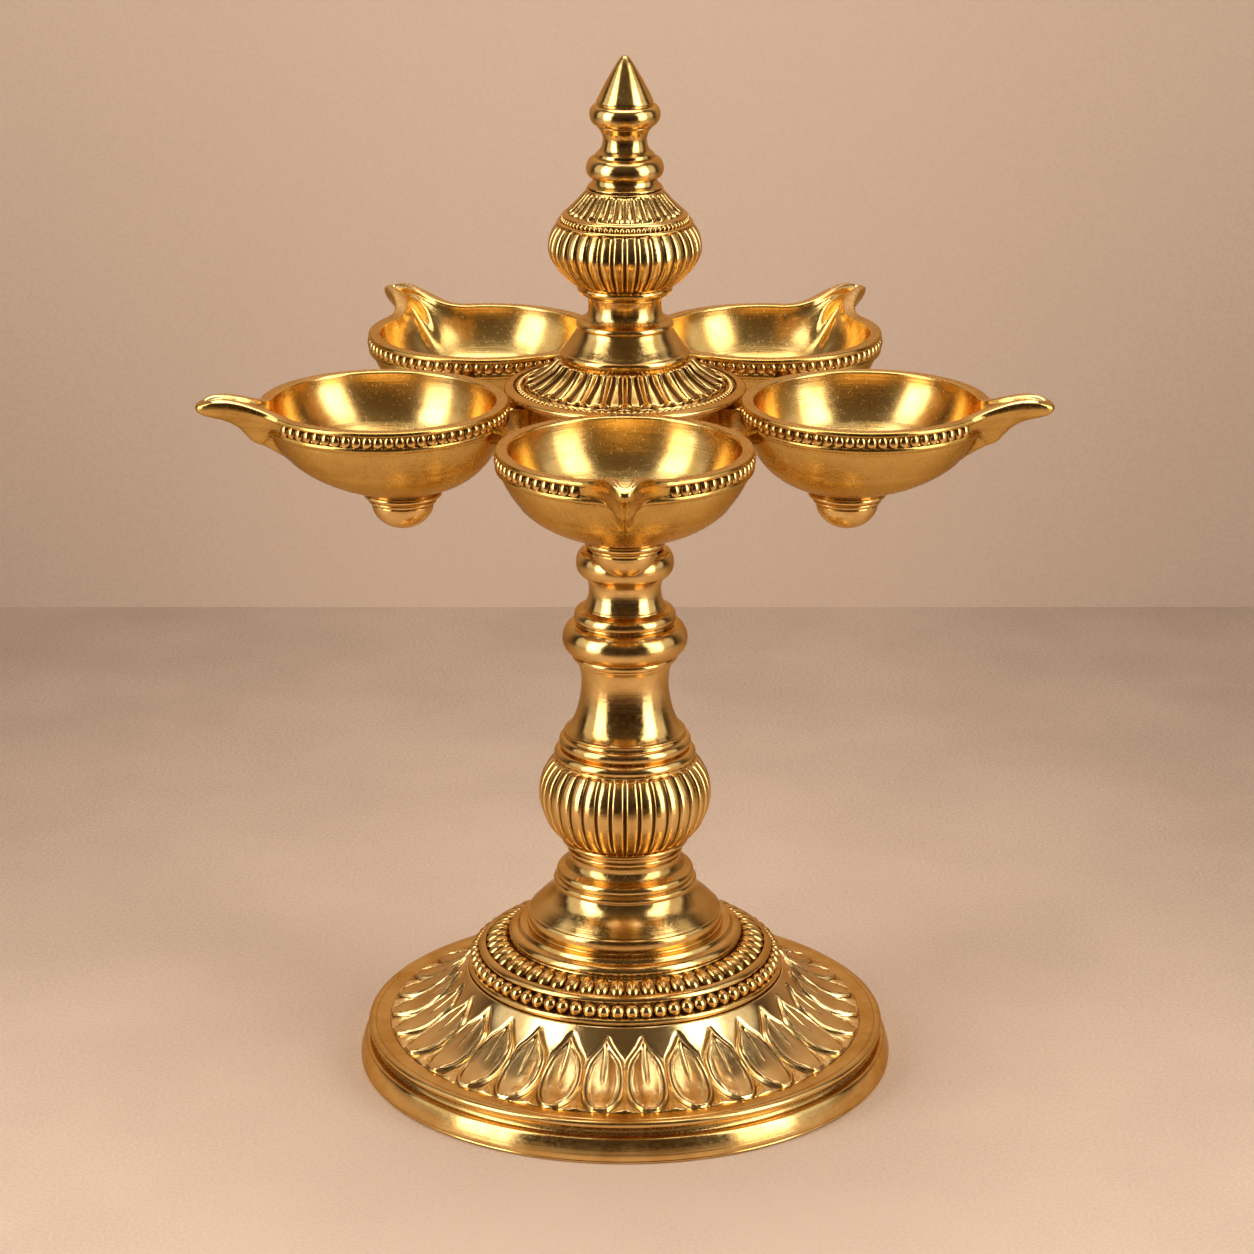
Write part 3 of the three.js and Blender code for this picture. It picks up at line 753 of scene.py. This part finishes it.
lug_radius, lug_height = 34.1, 202.5
lug = bar(9.6, 8.0, 7.0, 1.4)[..., [1, 0, 2]] * (-1, 1, 1)
for index in range(cup_count):
    bar_piece(f"hub_lug_{index + 1}", in_place(lug, index, lug_radius, lug_height), "hub")


# Cups. Five bowls of cast brass with a flat satin lip, a band for beads under it, and a front that
# is drawn out into a pinched, rising spout with a keel below. The inside is brushed in rings.
cup_outside = brass("cup_outside_brass", (0.66, 0.42, 0.12, 1), (0.565, 0.34, 0.09, 1), amount=0.9,
                    smooth=0.2, dull=0.3, rings=2.5, ring_depth=0.8)
cup_lip = brass("cup_lip_brass", (0.80, 0.57, 0.26, 1), (0.72, 0.48, 0.19, 1), amount=0.5, smooth=0.22,
                dull=0.3, rings=3.5, ring_depth=0.4)
cup_inside = brass("cup_inside_brass", (0.86, 0.59, 0.22, 1), (0.72, 0.45, 0.13, 1), amount=0.0,
                   smooth=0.23, dull=0.28, ring_depth=0.6)
bowl_radius, bowl_depth, bowl_fullness, bowl_lean = 34.7, 27.2, 2.15, 5.0
mouth_radius, mouth_depth = 31.8, 24.4
plain_lip = 35.3

# Rows of the wall: radius and height round the plain bowl, then distance from the cup's middle and
# height along the middle of the spout, then the share of the spout's width that the row keeps.
outside_rows = [
    (34.5, 0, 53.4, 3.2, 1), (35.1, -0.12, 54, 3, 1), (35.35, -0.7, 54.3, 2.3, 1),
    (35.3, -1.2, 54.2, 1.6, 1), (34.85, -1.6, 53.6, 0.8, 1), (34.7, -1.9, 52.4, 0, 1),
    (34.65, -2.2, 50.7, -0.6, 0.99), (34.65, -2.5, 48.7, -1.2, 0.97), (34.65, -2.8, 46.6, -1.9, 0.95),
    (34.65, -3.1, 44.5, -2.9, 0.92), (34.65, -3.4, 42.6, -4.2, 0.88), (34.65, -3.7, 41.1, -5.7, 0.82),
    (34.65, -4, 39.9, -7.1, 0.75), (34.75, -4.3, 39, -8.2, 0.69), (35.2, -4.6, 38.2, -8.9, 0.64),
    (35.4, -5.2, 37.4, -9.4, 0.59), (35.1, -5.9, 36.6, -9.8, 0.55), (34.3, -6.2, 35.8, -10.1, 0.51),
    (34.05, -6.6, 35, -10.5, 0.48), (33.9, -7.2, 34.3, -11, 0.46), (33.55, -8.2, 33.6, -11.5, 0.44),
    (33.1, -9.2, 32.9, -12, 0.41), (32.6, -10.2, 32.3, -12.5, 0.38), (32.1, -11.1, 31.7, -13, 0.35),
    (31.6, -12, 31.1, -13.5, 0.32), (31.1, -12.8, 30.5, -14, 0.30), (30, -14.4, 29.9, -14.8, 0.28),
    (29.3, -15.3, 29.4, -15.3, 0.28)]
inside_rows = [
    (32.3, 0, 50.7, 3.1, 1), (31.85, -0.25, 50.1, 2.75, 1), (31.75, -1.2, 49.2, 1.8, 1),
    (31.65, -2.5, 46.8, 0.9, 1), (31.4, -4, 43.6, -0.2, 1), (31, -5.6, 40.4, -1.8, 1),
    (30.5, -7.2, 37.2, -4, 1.05), (29.9, -8.8, 34, -6.7, 1.1), (29.2, -10.4, 31.2, -9.4, 1.2),
    (28.3, -12, 28.8, -11.8, 1.3), (27.2, -13.7, 27.2, -13.7, 1.4)]
# The lip seen from above: sideways place of its outer edge, share of the spout's reach there, the
# same two for its inner edge.
lip_plan = np.array([
    (0, 1, 0, 1), (1.0, 0.99, 0.35, 0.99), (1.8, 0.955, 0.65, 0.97), (2.8, 0.88, 1.1, 0.92),
    (4.0, 0.74, 1.6, 0.83), (5.1, 0.57, 2.1, 0.69), (6.2, 0.40, 2.8, 0.51), (7.5, 0.24, 3.9, 0.325),
    (9.0, 0.12, 5.6, 0.175), (11.2, 0.036, 8.4, 0.06), (14.0, 0, 12.4, 0)])


def wall_rows(rows, step, radius, depth):
    """The given rows, made smooth and dense, and under them the rows of the bowl's round down to its
    bottom, where radius and height follow powers of the cosine and the sine."""
    power = 2 / bowl_fullness
    start = math.asin((-rows[-1][1] / depth) ** (1 / power)) / (math.pi / 2)
    turn = np.linspace(start, 1, 24)[1:] * np.pi / 2
    flat = np.stack([radius * np.cos(turn) ** power, -depth * np.sin(turn) ** power], axis=1)
    flat[-1, 0] = 0
    return np.vstack([through(rows, step), np.hstack([flat, flat, np.ones((len(flat), 1))])])


# The lip's curve is divided as if the spout's reach were 20 mm, once for the columns and once finely.
drawn_out = (1, 20, 1, 20)
plan_curve, fine_plan = (through(lip_plan * drawn_out, step) / drawn_out for step in (0.34, 0.06))
# How a rising row climbs: share of the spout's reach, share of the rise.
lip_rise = through([(0, 0), (0.06, 0.2), (0.16, 0.49), (0.34, 0.9), (0.5, 1.18), (0.66, 1.34),
                    (0.8, 1.34), (0.92, 1.18), (1, 1)], 0.01)
round_count = 84
swing = np.arcsin(plan_curve[-1, 0] / plain_lip)
plain_turn = swing + (np.pi - swing) * (np.arange(round_count) + 1) / round_count


def lip_columns(sideways, radius):
    """The angle of every column and its sideways place on the lip. In front, the columns crowd in the
    spout at the places given; from there on they are even, and the left half mirrors the right."""
    half = np.concatenate([np.arcsin(sideways / radius), plain_turn])
    turn = np.concatenate([half, -half[-2:0:-1]])
    return turn, radius * np.sin(np.minimum(np.abs(turn), np.pi / 2))


def drawn_wall(rows, turn, side, side_table, reach_table):
    """Points of the wall. Each row is a circle, whose points near the front are carried out along the
    spout by the row's reach times a share that falls off sideways. A row that rises does so mostly near
    the bowl and dips again at the tip; one that sinks into the keel follows the share."""
    radius, height, out, up, width = (rows[:, [i]] for i in range(5))
    share = np.interp(side / width, side_table, reach_table, right=0) * (np.abs(turn) < np.pi / 2)
    risen = np.interp(share, lip_rise[:, 0], lip_rise[:, 1])
    x = radius * np.sin(turn)
    y = -radius * np.cos(turn) - (out - radius) * share
    z = height + (up - height) * np.where(up > height, risen, share)
    y = y + bowl_lean * np.clip(-height / bowl_depth, 0, 1) ** 2
    return np.stack([x, y, z + 0 * x], axis=2)


outer_turn, outer_side = lip_columns(plan_curve[:, 0], plain_lip)
inner_turn, inner_side = lip_columns(plan_curve[:, 2], mouth_radius)
outer_wall = drawn_wall(wall_rows(outside_rows, 0.5, bowl_radius, bowl_depth), outer_turn, outer_side,
                        fine_plan[:, 0], fine_plan[:, 1])
inner_wall = drawn_wall(wall_rows(inside_rows, 0.55, mouth_radius, mouth_depth), inner_turn, inner_side,
                        fine_plan[:, 2], fine_plan[:, 3])
across_lip = np.linspace(0, 1, 7)[1:-1, None, None]
lip = outer_wall[0] * (1 - across_lip) + inner_wall[0] * across_lip
spout_share = np.interp(outer_side, plan_curve[:, 0], plan_curve[:, 1], right=0)
spout_share = spout_share * (np.abs(outer_turn) < np.pi / 2)
lip_swell = 3.6
lip = lip + (0, 0, 1) * (lip_swell * across_lip * (1 - across_lip) * spout_share[:, None])
cup_grid = np.concatenate([outer_wall[::-1], lip, inner_wall])
cup_recess = recess_of(cup_grid, False, 1.2)
cup_faces = grid_faces(*cup_grid.shape[:2], False)
face_row = np.repeat(np.arange(len(cup_grid) - 1), cup_grid.shape[1])
lip_starts, lip_ends = len(outer_wall) - 2, len(outer_wall) + len(lip) + 1
finish = np.where(face_row < lip_starts, 0, np.where(face_row < lip_ends, 1, 2))
bead_gap = math.radians(5)
bead_turn = np.arange(4.5, 36) * bead_gap
bead_turn = np.concatenate([bead_turn, -bead_turn])
bead_points, bead_faces, bead_recess = beads(34.7, -2.9, bead_turn, (1.5, 1.0, 1.75), detail=(9, 10))
for index in range(cup_count):
    name, cup_axis = f"cup_{index + 1}", in_place(np.zeros(3), index)
    make_piece(f"{name}_bowl", in_place(cup_grid, index), cup_faces, [cup_outside, cup_lip, cup_inside],
               "cup_ring", name, place=cup_grid, recess=cup_recess, slots_of_faces=finish,
               axis=cup_axis)
    make_piece(f"{name}_beads", in_place(bead_points, index), bead_faces, [beaded], "cup_ring", name,
               place=bead_points, recess=bead_recess, axis=cup_axis)


# Bosses. A ringed knob brazed under each bowl, where a hanging drop would be on a larger lamp.
boss_top = -26.5
boss_outline = outline(
    (0, -11.4), [(2.2, -11.2), (4.9, -10.2), (7.2, -8.3), (8.6, -6), (9, -4.2)], (8.7, -3.9),
    ring((8.8, -3.9), (9.2, -2.5), 9.9), (9.4, -2.4), (9.8, -2.2),
    ring((10.2, -2.2), (10.4, -0.5), 11.3), (11, 0), (0, 0))
boss_grid = turned(boss_outline, 72, closed=False)
boss_recess = recess_of(boss_grid, False, 0.8)
boss_faces = grid_faces(*boss_grid.shape[:2], False)
boss_grid = boss_grid + (0, bowl_lean, boss_top)
for index in range(cup_count):
    name = f"cup_boss_{index + 1}"
    make_piece(f"{name}_knob", in_place(boss_grid, index), boss_faces, [polished], "cup_ring", name,
               place=boss_grid, recess=boss_recess,
               axis=in_place(np.array([0, bowl_lean, 0]), index))


# Ties. A short rounded bar brazed between each cup and the next.
tie, tie_radius, tie_height = bar(17.0, 4.4, 5.0, 1.6), 51.0, 204.4
for index in range(cup_count):
    bar_piece(f"cup_tie_{index + 1}_bar", in_place(tie, index + 0.5, tie_radius, tie_height),
              f"cup_tie_{index + 1}")


# Petal canopy. A low cone over the hub with a flat rim, a ring of beads in a groove, and a circle
# of twenty-eight chased petals, each a tongue inside a raised edge.
canopy_line = through([(28.9, 209.3), (26.6, 210.5), (24, 212), (21, 214.2), (18.6, 216.9)], 0.1)
canopy_length = np.linalg.norm(np.diff(canopy_line, axis=0), axis=1).sum()
canopy_up = [*np.arange(0, 3, 0.2), *np.arange(3, canopy_length - 0.2, 0.45), canopy_length]
tongue_edge = through([(0, 0.15), (1.5, 0.4), (2.4, 1.2), (2.75, 2.6), (2.6, 4.6), (2.3, 7.4), (2, 10),
                       (1.85, canopy_length)], 0.3)


def tongue_height(across, up, away, room):
    """A petal like a long U: a rounded rim that is thickest at its lower end, a slot inside it, and a
    small tongue in the middle. The ground between two petals lies lower, with a dart below."""
    rim = (0.64 + 0.46 * smooth_step(3.2 - up, 0, 2)) * bell_curve(away, -0.4, 0.33)
    slot = -0.55 * bell_curve(away, -1.08, 0.3)
    inside = np.clip((-away - 1.15) / 1.1, 0, 1)
    tongue = 0.06 * smooth_step(-away, 1.0, 1.3) + 0.2 * inside * (2 - inside)
    dart = 0.6 * smooth_step(1.5 * (1 - up / 2.2) - (room - np.abs(across)), 0, 0.4) * (away > 0.12)
    return rim + slot + tongue + dart - 0.4 * smooth_step(away, -0.1, 0.3)


tarnished = brass("tarnished_brass", amount=0.95, smooth=0.19, dull=0.27, ring_depth=0.2)
canopy_petals = 28
canopy_inner = [0, 0.16, 0.32, 0.44, 0.52, 0.6, 0.68, 0.75, 0.82, 0.88, 0.94, 1]
canopy_outer = [0.3, 0.65, 1]
canopy_curve, canopy_angles, canopy_heights = petal_band(
    canopy_line, canopy_up, canopy_petals, tongue_edge, canopy_inner, canopy_outer, tongue_height,
    low_fade=(0, 0.4), high_fade=(0, 0.8))
canopy_rim = outline(
    (bore, 207.2), (33.4, 207.2), ring((33.4, 207.2), (33.8, 209.2), 34.95), (32.3, 209.5),
    [(32.1, 208.9), (31.6, 208.6)], (29.6, 208.8), [(29.2, 208.7), (28.9, 209.3)])[:-1]
canopy_top = outline((18.6, 216.9), (18, 217.1), (bore, 217.1), (bore, 207.2), step=2)[1:-1]
below, above = (np.zeros((len(rows), canopy_angles.shape[1])) for rows in (canopy_rim, canopy_top))
turned_piece("petal_canopy_casting", np.vstack([canopy_rim, canopy_curve, canopy_top]),
             np.vstack([canopy_angles[0] + below, canopy_angles, canopy_angles[-1] + above]), tarnished,
             "cup_ring", "petal_canopy", reach=0.45, reach_round=2.4,
             relief=np.vstack([below, canopy_heights, above]))
bead_piece("canopy_beads", 104, "cup_ring", "petal_canopy", radius=30.6, height=209.0,
           size=(0.92, 0.7, 1.0), tilt=1.35, detail=(6, 8))


# Upper bell. A plain flared turning over the canopy, with a ring and the neck under the bulb.
turning("upper_bell", 217.1, 236.2, (18, 217.1), (18.2, 217.5), ring((18.2, 217.5), (18.3, 219.9), 18.8),
        (18.1, 220.1), (17.9, 220.4), [(16.5, 222.1), (15.2, 223.9), (14, 225.7), (13.5, 226.6)],
        ring((13.4, 226.7), (13, 228.7), 14), (12.6, 228.9), (12, 229.2), [(10.9, 230.6), (10.5, 232.8),
        (10.6, 234.6), (11, 235.8)], (11, 236.2), step=0.35, body="cup_ring")


# Fluted bulb. A round bulb with upright flutes, a band of beads, and a sloping shoulder of gadroons.
shoulder_gadroons, flutes_end = 32, 256.9


def bulb_relief(angle, radius, height):
    """Flutes on the round of the bulb, and over the bead band gadroons with round lower ends."""
    flute = fluting(239.6, flutes_end, 1.0)(angle, radius, height) * (height < flutes_end)
    pitch = 2 * np.pi / shoulder_gadroons
    across = np.abs((angle % pitch) - pitch / 2) * radius
    up = (height - 260.4) * 1.4
    half = 0.46 * pitch * radius * np.sqrt(np.clip(1 - (1 - np.clip(up / 1.5, 0, 1)) ** 2, 0, 1))
    lobe = 0.8 * np.clip((half - across) / 1.2, 0, 1) ** 0.45 - 0.5
    shoulder = lobe * smooth_step(height, 260.2, 260.6) * smooth_step(266.5 - height, 0, 0.9)
    return (flute + shoulder) * (radius > 9)


turning("fluted_bulb", 236.2, 267.1, (11.8, 236.2), (12, 236.6), ring((12.2, 236.6), (13, 239.3), 13.7),
        (13.2, 239.6), [(15.4, 240.2), (18, 242.5), (20.2, 245.2), (21.5, 247.7), (22, 250), (21.8, 252),
        (21, 254.4), (19.5, 256.8)], (18.9, 256.9), ring((18.9, 257), (18.5, 257.9), 19.5),
        (18.2, 257.9), [(17.8, 258.3), (17.6, 258.9)], ring((17.5, 259.1), (16.9, 260), 17.9),
        (16.8, 260.1), (16.7, 260.3), [(14.7, 262.1), (12.6, 264.3), (10.8, 266.5)], ring((10.8, 266.5),
        (10.5, 267.1), 11.1), step=0.36, columns=576, body="cup_ring", relief=bulb_relief, reach=0.6,
        reach_round=0.96)
bead_piece("bulb_beads", 72, "cup_ring", "fluted_bulb", radius=18.0, height=258.5,
           size=(0.78, 0.62, 0.72), tilt=0.4, detail=(6, 8))


# Spire. A pointed finial that is screwed down on the tie rod, with a ring, a neck and a cone.
spire_outline = outline(
    (0, 281), (bore, 281), (bore, 267.4), (10.6, 267.4), [(10.65, 267.7), (10.1, 268.2), (9.5, 268.9),
    (9.2, 269.6), (9.1, 270.2)], ring((9.1, 270.2), (8.6, 276.2), 11.1), (8.3, 276.4), (8.2, 277.2),
    [(7, 278.4), (6.4, 280), (6.3, 281.6), (6.8, 283.2), (7.6, 284.4)], [(8, 284.9), (8, 285.3)],
    ring((8, 285.3), (8.3, 291), 10.1), (8, 291.1), (7.9, 291.5), (8.1, 291.7), (8.1, 292.2),
    [(7, 294.4), (5.75, 296.8), (4.4, 299.3), (3.05, 301.6), (1.85, 303.5), (0.85, 304.65), (0, 305)],
    step=0.3)
turned_piece("spire_turning", spire_outline, 128, polished, "spire", "spire", closed=False)
